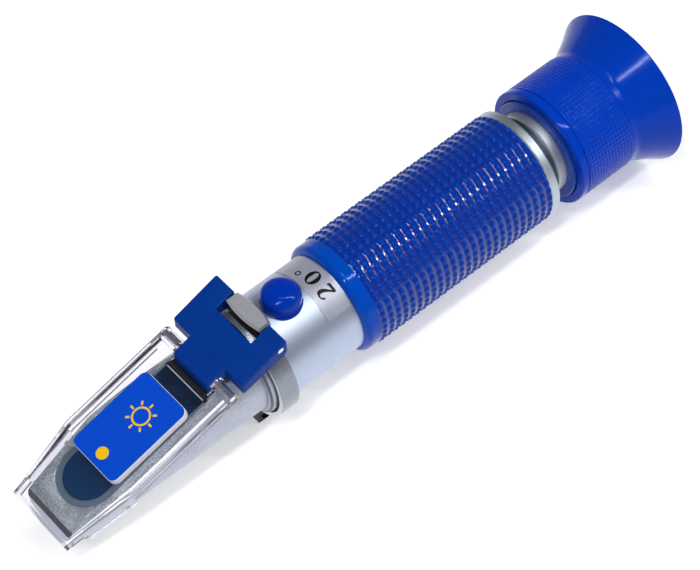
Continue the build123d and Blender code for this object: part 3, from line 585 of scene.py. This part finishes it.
def turnedShape(profile, steps, relief):
    # a closed outline of (x, radius, weight) in mm turned round X; relief adds to the radius by weight
    bm = bmesh.new()
    rings = []
    for x, radius, weight in profile:
        ring = []
        for i in range(steps):
            turn = i / steps
            r = radius + (relief(x, turn) * weight if weight else 0.0)
            angle = 2 * math.pi * turn
            ring.append(bm.verts.new((x * mm, -r * math.sin(angle) * mm, r * math.cos(angle) * mm)))
        rings.append(ring)
    for a, b in zip(rings, rings[1:] + rings[:1]):
        for i in range(steps):
            j = (i + 1) % steps
            bm.faces.new((a[i], a[j], b[j], b[i]))
    return bm


def tent(t):
    # 0 at each whole number, 1 halfway between
    return 1 - abs(2 * (t % 1.0) - 1)


def rounded(t):
    t = max(0.0, min(1.0, t))
    return t * t * (3 - 2 * t)


# knurled rubber grip
grip = {
    "rowPitch": 2.1,  # mm between grooves along the tube
    "firstGroove": -0.03,  # from the sleeve's front end
    "studsRound": 42,
    "studHeight": 0.5,
    "topRadius": 14.3,
    "flatTop": 0.2,  # share of a stud that is flat on top
    "ringShare": 0.2,  # share of a row that is groove floor
    "crossShare": 0.08,  # the same for the grooves along the tube
    "crossDepth": 0.8,  # depth of the grooves along the tube, as a share of those round it
    "rowSteps": (-0.1, -0.06, 0.06, 0.1, 0.17, 0.25, 0.33, 0.42, 0.5, 0.58, 0.67, 0.75, 0.83),
    "endGap": 0.02,  # mm left plain at each end
    "finePerStud": 7,
    "sharp": 80,  # degrees
}


def gripSleeve():
    low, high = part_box("grip_sleeve")
    x0, x1 = low[0] / mm, high[0] / mm
    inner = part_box("main_tube")[1][2] / mm
    floor = grip["topRadius"] - grip["studHeight"]

    def relief(x, turn):
        along = tent((x - x0 - grip["firstGroove"]) / grip["rowPitch"])
        around = tent(turn * grip["studsRound"])
        ridge = rounded((along - grip["ringShare"]) / (1 - grip["ringShare"] - grip["flatTop"]))
        stud = rounded((around - grip["crossShare"]) / (1 - grip["crossShare"] - grip["flatTop"]))
        return ridge * (1 - grip["crossDepth"] * (1 - stud)) * grip["studHeight"]

    rows = int((x1 - x0) / grip["rowPitch"]) + 2
    profile = [(x0, inner, 0), (x0, floor, 0)]
    for row in range(rows):
        for step in grip["rowSteps"]:  # closer on the flat floor of each groove
            x = x0 + grip["firstGroove"] + (row + step) * grip["rowPitch"]
            if x0 + grip["endGap"] < x < x1 - grip["endGap"]:
                profile.append((x, floor, 1.0))
    profile += [(x1, floor, 0), (x1, inner, 0)]
    bm = turnedShape(profile, grip["studsRound"] * grip["finePerStud"], relief)
    newPiece("gripKnurl", bm, finish["gripRubber"], "tube", ("grip_sleeve",), grip["sharp"])


gripSleeve()
print("grip knurled")


# focus ring with its fine knurl, lengths in mm
focus = {
    "knurlStart": 2.7,  # from the ring's front end
    "knurlEnd": 0.45,  # short of its back end
    "rowPitch": 0.925,
    "studsRound": 88,
    "studHeight": 0.2,
    "flatTop": 0.25,  # share of a stud that is flat on top
    "grooveShare": 0.12,
    "domed": 0.45,  # how much of a stud's slope is rounded
    "finePerStud": 5,
    "radius": 15.25,
    "lipRound": 0.45,
    "lipSteps": 6,
    "groove": ((1.9, 0.0), (1.98, 0.28), (2.32, 0.28), (2.4, 0.02)),  # from the front end, and depth
    "runIn": (0.05, 0.12),  # before the first stud, and height over the knurl's floor
    "runOut": 0.05,
    "rearEdge": 0.1,
    "mouthDepth": 3.4,
    "mouthRadius": 13.3,
    "boreRadius": 10.65,
    "socketGap": 0.3,  # round the lens barrel
    "socketDepth": 3.55,  # from its shoulder to the barrel's far end
    "sharp": 50,  # degrees
}


def focusRing():
    low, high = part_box("focus_ring")
    x0, x1 = low[0] / mm, high[0] / mm
    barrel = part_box("lens_barrel")[1]
    socket = barrel[2] / mm + focus["socketGap"]
    shoulder = barrel[0] / mm - focus["socketDepth"]
    r, lip, bore, mouth = focus["radius"], focus["lipRound"], focus["boreRadius"], focus["mouthRadius"]
    start, end = x0 + focus["knurlStart"], x1 - focus["knurlEnd"]
    rows = int((end - start) / focus["rowPitch"])
    pitch = (end - start) / rows

    def relief(x, turn):
        rise = min(tent((x - start) / pitch), tent(turn * focus["studsRound"]))
        rise = (rise - focus["grooveShare"]) / (1 - focus["grooveShare"] - focus["flatTop"])
        rise = max(0.0, min(1.0, rise))
        return (rounded(rise) * focus["domed"] + rise * (1 - focus["domed"])) * focus["studHeight"]

    profile = [(x0, mouth, 0)]
    for i in range(focus["lipSteps"] + 1):
        a = i / focus["lipSteps"] * math.pi / 2
        profile.append((x0 + lip * (1 - math.cos(a)), r - lip * (1 - math.sin(a)), 0))
    profile += [(x0 + along, r - depth, 0) for along, depth in focus["groove"]]
    base = r - focus["studHeight"]
    profile.append((start - focus["runIn"][0], base + focus["runIn"][1], 0))
    count = rows * focus["finePerStud"]
    for i in range(count + 1):
        profile.append((start + (end - start) * i / count, base, 1.0))
    out = focus["runOut"]
    profile += [(end + out, base + out, 0), (x1 - focus["rearEdge"], base + out, 0), (x1, base - out, 0)]
    profile += [(x1, socket, 0), (shoulder, socket, 0), (shoulder, bore, 0)]
    seat = x0 + focus["mouthDepth"]
    profile += [(seat, bore, 0), (seat, mouth, 0)]
    bm = turnedShape(profile, focus["studsRound"] * focus["finePerStud"], relief)
    newPiece("focusKnurl", bm, finish["eyepieceAbs"], "focus", ("focus_ring",),
             focus["sharp"])


focusRing()
print("focus ring knurled")


# printed marks, drawn as thin raised ribbons
def inkRibbon(bm, points, closed, place, thick):
    # points are (u, v, width) in mm; place turns (u, v, height) into a position
    count = len(points)
    rows = []
    for i, (u, v, width) in enumerate(points):
        before = points[i - 1] if closed or i else points[i]
        after = points[(i + 1) % count] if closed or i < count - 1 else points[i]
        du, dv = after[0] - before[0], after[1] - before[1]
        length = math.hypot(du, dv)
        nu, nv = -dv / length * width / 2, du / length * width / 2
        corners = [(u + nu, v + nv, thick), (u - nu, v - nv, thick),
                   (u - nu, v - nv, 0.0), (u + nu, v + nv, 0.0)]
        rows.append([bm.verts.new(place(*c)) for c in corners])
    pairs = list(zip(rows, rows[1:])) + ([(rows[-1], rows[0])] if closed else [])
    for a, b in pairs:
        for k in range(4):
            m = (k + 1) % 4
            bm.faces.new((a[k], a[m], b[m], b[k]))
    if not closed:
        bm.faces.new(rows[0])
        bm.faces.new(rows[-1])


def smoothPath(keys, each):
    # a smooth curve through (u, v, width) keys, in so many steps from each to the next
    path = []
    padded = [keys[0]] + list(keys) + [keys[-1]]
    for k in range(len(keys) - 1):
        p0, p1, p2, p3 = padded[k : k + 4]
        for i in range(each):
            t = i / each
            path.append(tuple(
                0.5 * (2 * b + (c - a) * t + (2 * a - 5 * b + 4 * c - d) * t * t
                       + (3 * b - a - 3 * c + d) * t ** 3)
                for a, b, c, d in zip(p0, p1, p2, p3)
            ))
    path.append(tuple(keys[-1]))
    return path


def ovalPath(count, middle, reach, width):
    # reach is (half across, half up), width is (at the top and bottom, at the sides)
    path = []
    for i in range(count):
        a = 2 * math.pi * i / count
        u, v = middle[0] + reach[0] * math.cos(a), middle[1] + reach[1] * math.sin(a)
        path.append((u, v, width[0] + (width[1] - width[0]) * math.cos(a) ** 2))
    return path


# number on the tube's silver label: plain digits 4 mm high, read from the -Y side, in mm
tubeNumber = {
    "middleX": -8.65,  # along the tube
    "twoAt": -4.5,  # round the tube
    "two": ((-1.02, 1.05, 0.62), (-0.95, 1.45, 0.44), (-0.5, 1.82, 0.38), (0.1, 1.86, 0.46),
            (0.66, 1.5, 0.82), (0.78, 0.9, 1.0), (0.5, 0.15, 0.84), (-0.2, -0.75, 0.56),
            (-1.05, -1.66, 0.42)),  # across, up and the pen's width
    "twoSteps": 8,
    "foot": ((-1.22, -1.74, 0.6), (-0.6, -1.74, 0.68), (0.3, -1.74, 0.68), (0.95, -1.68, 0.74),
             (1.2, -1.2, 0.16)),
    "footSteps": 4,
    "noughtAt": (0.0, 0.0),
    "noughtReach": (1.1, 1.83),
    "noughtWidth": (0.34, 1.0),
    "noughtSteps": 64,
    "degreeAt": (3.51, 1.42),
    "degreeReach": (0.58, 0.58),
    "degreeWidth": (0.3, 0.3),
    "degreeSteps": 40,
    "ink": 0.02,
}


def tubeLabelNumber():
    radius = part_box("tube_label")[1][2] / mm

    def place(u, v, height):
        angle = -u / radius
        r = radius + height
        return ((tubeNumber["middleX"] - v) * mm, -r * math.sin(angle) * mm, r * math.cos(angle) * mm)

    bm = bmesh.new()
    for mark in ("two", "foot"):
        path = smoothPath(tubeNumber[mark], tubeNumber[mark + "Steps"])
        stroke = [(tubeNumber["twoAt"] + u, v, width) for u, v, width in path]
        inkRibbon(bm, stroke, False, place, tubeNumber["ink"])
    for mark in ("nought", "degree"):
        oval = ovalPath(*(tubeNumber[mark + value] for value in ("Steps", "At", "Reach", "Width")))
        inkRibbon(bm, oval, True, place, tubeNumber["ink"])
    newPiece("tubeNumber", bm, finish["blackInk"], "tube")


tubeLabelNumber()
print("tube number printed")


# the prism's slanted flat, which the cover lies on
prismFlat = {
    "slope": 15.6,  # degrees
    "axisX": -71.596,  # mm, where the flat crosses the optical axis
}


def onFlat(s, y, h):
    slope = math.radians(prismFlat["slope"])
    x = prismFlat["axisX"] + s * math.cos(slope) - h * math.sin(slope)
    return (x * mm, y * mm, (s * math.sin(slope) + h * math.cos(slope)) * mm)


# pictogram on the cover's pad: the usual sun sign and a dot, in mm
pictogram = {
    "padTop": 3.85,  # above the flat
    "sunAt": (15.65, -0.35),  # along and across the flat
    "sunReach": (2.05, 2.05),
    "sunWidth": (0.46, 0.46),
    "sunSteps": 72,
    "rays": 8,
    "rayReach": (2.6, 3.6),
    "rayWidth": 0.48,
    "dotAt": (4.27, -0.34),
    "dotReach": (1.5, 1.5),
    "dotSteps": 48,
    "ink": 0.02,
}


def padPictogram():
    def place(u, v, height):
        return onFlat(u, v, pictogram["padTop"] + height)

    bm = bmesh.new()
    s, y = pictogram["sunAt"]
    ring = ovalPath(pictogram["sunSteps"], (s, y), pictogram["sunReach"], pictogram["sunWidth"])
    inkRibbon(bm, ring, True, place, pictogram["ink"])
    for k in range(pictogram["rays"]):
        a = 2 * math.pi * k / pictogram["rays"]
        ray = [(s + r * math.cos(a), y + r * math.sin(a), pictogram["rayWidth"])
               for r in pictogram["rayReach"]]
        inkRibbon(bm, ray, False, place, pictogram["ink"])
    newPiece("sunSign", bm, finish["paleYellowInk"], "cover")
    bm = bmesh.new()
    rim = ovalPath(pictogram["dotSteps"], pictogram["dotAt"], pictogram["dotReach"], (0.0, 0.0))
    for level in (pictogram["ink"], 0.0):
        bm.faces.new([bm.verts.new(place(u, v, level)) for u, v, _ in rim])
    bmesh.ops.bridge_loops(bm, edges=bm.edges)
    newPiece("dotSign", bm, finish["yellowInk"], "cover")


padPictogram()
print("pad pictogram printed")


# thin ground chamfer along the rear edge of the prism's polished top, in mm
chamfer = {
    "rearEdge": 27.66,  # along the flat
    "top": 0.2,  # above it
    "halfLength": 6.2,
    "width": 0.24,
    "proud": 0.02,
}


def prismChamfer():
    def place(u, v, height):
        return onFlat(u, v, chamfer["top"] + height)

    bm = bmesh.new()
    middle = chamfer["rearEdge"] - chamfer["width"] / 2
    edge = [(middle, side * chamfer["halfLength"], chamfer["width"]) for side in (-1, 1)]
    inkRibbon(bm, edge, False, place, chamfer["proud"])
    newPiece("prismChamfer", bm, finish["groundGlass"], "tube")


prismChamfer()
print("prism chamfer ground")


# solids whose edges are broken, as a real moulding's are
softened = {
    "coverPlate": 0.14,  # mm
    "coverPad": 0.18,
    "hingeBlock": 0.22,
    "clampBand": 0.12,
    "prismCasting": 0.15,
    "segments": 2,
    "sharperThan": 32,  # degrees, edges that are broken
    "flatterThan": 0.4,  # degrees, faces cut up in the solid's mesh that are joined again
    "sameVertex": 1e-7,  # metres
}


def softenedCopy(nodeName, pieceName, material, body):
    bm = bmesh.new()
    bm.from_mesh(nodes[nodeName].data)
    bmesh.ops.remove_doubles(bm, verts=bm.verts, dist=softened["sameVertex"])
    flat = math.radians(softened["flatterThan"])
    bmesh.ops.dissolve_limit(bm, angle_limit=flat, verts=bm.verts, edges=bm.edges)
    piece = newPiece(pieceName, bm, material, body, (nodeName,))
    bevel = piece.modifiers.new("brokenEdges", "BEVEL")
    bevel.width = softened[pieceName] * mm
    bevel.segments = softened["segments"]
    bevel.limit_method = "ANGLE"
    bevel.angle_limit = math.radians(softened["sharperThan"])
    bevel.use_clamp_overlap = True


softenedCopy("cover_plate", "coverPlate", finish["clearAcrylic"], "cover")
softenedCopy("cover_pad", "coverPad", finish["whiteAbs"], "cover")
softenedCopy("hinge_block", "hingeBlock", finish["sparkFinishedAbs"], "hinge_block")
softenedCopy("clamp_band", "clampBand", finish["bandAluminium"], "tube")
softenedCopy("prism_casting", "prismCasting", finish["sandCastAluminium"], "tube")
print("edges broken")

# the other nodes keep their shape and get a finish
nodeFinish = {
    "blastedAluminium": ("main_tube",),
    "turnedAluminium": ("end_ring",),
    "neckAluminium": ("eyepiece_neck",),
    "polishedSteel": ("hinge_pin", "cover_pin", "bimetal_strip", "strip_screw", "guide_pin"),
    "blackenedSteel": ("clamp_screw",),
    "turnedBrass": ("screw_boss", "calibration_screw"),
    "blackAnodised": ("carriage_frame", "lens_carriage", "light_baffle", "scale_cell", "scale_ring",
                      "lens_barrel", "lens_spacer", "retaining_ring"),
    "opticalGlass": ("objective_lens", "scale_glass", "field_lens", "eye_lens"),
    "blueFlintGlass": ("prism",),
    "collarAbs": ("grip_collar",),
    "capAbs": ("calibration_cap",),
    "insertAbs": ("dust_ring",),
    "eyecupAbs": ("eyecup",),
    "sealRubber": ("prism_seal",),
    "darkRubber": ("band_liner",),
    "silverFilm": ("tube_label",),
    "blueFilm": ("pad_label",),
}
for kind, names in nodeFinish.items():
    for name in names:
        data = nodes[name].data
        data.materials.clear()
        data.materials.append(finish[kind])
print("finishes on the other nodes:", sum(len(names) for names in nodeFinish.values()))


# studio: pale floor under a dim sky
studio = {
    "floorZ": -20.05,  # mm, under the clamp's lug and the eyecup's rim
    "floorHalf": 3.0,  # metres
    "floor": {"Base Color": "F4F4F4", "Roughness": 0.9, "Specular IOR Level": 0.1,
              "Emission Color": "FFFFFF"},  # matt painted board: pale, with the part's soft shadow
    "floorGlow": 0.42,  # for what the camera sees of it straight, mirrored or through glass
    "horizonLevel": 0.34,
    "zenithLevel": 0.12,
    "horizonTop": 0.05,  # height on the sky's dome, from 0 to 1
    "zenithFrom": 0.8,
}


def makeFloor():
    bm = bmesh.new()
    bmesh.ops.create_grid(bm, x_segments=1, y_segments=1, size=studio["floorHalf"])
    mesh = bpy.data.meshes.new("paleFloor")
    bm.to_mesh(mesh)
    bm.free()
    floor = bpy.data.objects.new("paleFloor", mesh)
    floor.location.z = studio["floorZ"] * mm
    bpy.context.scene.collection.objects.link(floor)
    material, tree, shader = newMaterial("paleFloor", studio["floor"])
    rays = addNode(tree, "LightPath").outputs
    seen = rays["Is Camera Ray"]
    for ray in ("Is Transmission Ray", "Is Glossy Ray"):
        seen = addNode(tree, "Math", {"operation": "MAXIMUM"}, {0: seen, 1: rays[ray]})
    glow = addNode(tree, "Math", {"operation": "MULTIPLY", 1: studio["floorGlow"]}, {0: seen})
    join(shader, {"Emission Strength": glow})
    mesh.materials.append(material)


def makeWorld():
    # a dim ceiling over a paler horizon, and plain white for the camera
    world = bpy.data.worlds.new("studioWorld")
    bpy.context.scene.world = world
    world.use_nodes = True
    tree = world.node_tree
    background = tree.nodes["Background"]
    fillSocket(background, "Color", "FFFFFF")
    span = {"From Min": studio["horizonTop"], "From Max": studio["zenithFrom"],
            "To Min": studio["horizonLevel"], "To Max": studio["zenithLevel"]}
    sky = addNode(tree, "MapRange", span, {"Value": axes(tree, "Generated")["Z"]})
    rays = addNode(tree, "LightPath").outputs
    level = addNode(tree, "Mix", {"data_type": "FLOAT", 3: 1.0}, {0: rays["Is Camera Ray"], 2: sky})
    join(background, {"Strength": level})


# two strip lamps: one draws the line along the tube and the grip, one the streak on the eyecup
lamps = {
    "keyStrip": {
        "way": (0.352, -0.295, 0.889),  # from the point it is aimed at to the lamp
        "aim": (0, 0, 0),  # metres
        "away": 0.9,
        "size": (1.15, 0.036),
        "level": 37.0,  # radiance
        "along": camera["right"],
    },
    "sideStrip": {
        "way": (-0.49, -0.24, 0.84),
        "aim": (0.085, 0, 0),
        "away": 0.9,
        "size": (0.34, 0.06),
        "level": 42.0,
        "along": (1, 0, 0),
    },
}


def makeLamp(name, look):
    data = bpy.data.lights.new(name, "AREA")
    data.shape = "RECTANGLE"
    data.size, data.size_y = look["size"]
    # watts that give this radiance
    data.energy = look["level"] * math.pi * look["size"][0] * look["size"][1]
    lamp = bpy.data.objects.new(name, data)
    bpy.context.scene.collection.objects.link(lamp)
    direction = Vector(look["way"]).normalized()
    lamp.location = Vector(look["aim"]) + direction * look["away"]
    across = Vector(look["along"])
    across = (across - direction * across.dot(direction)).normalized()
    up = direction.cross(across)
    lamp.rotation_euler = Matrix((across, up, direction)).transposed().to_euler()


makeFloor()
makeWorld()
for name, look in lamps.items():
    makeLamp(name, look)
bpy.context.scene.view_settings.view_transform = "Standard"
print("studio lit")
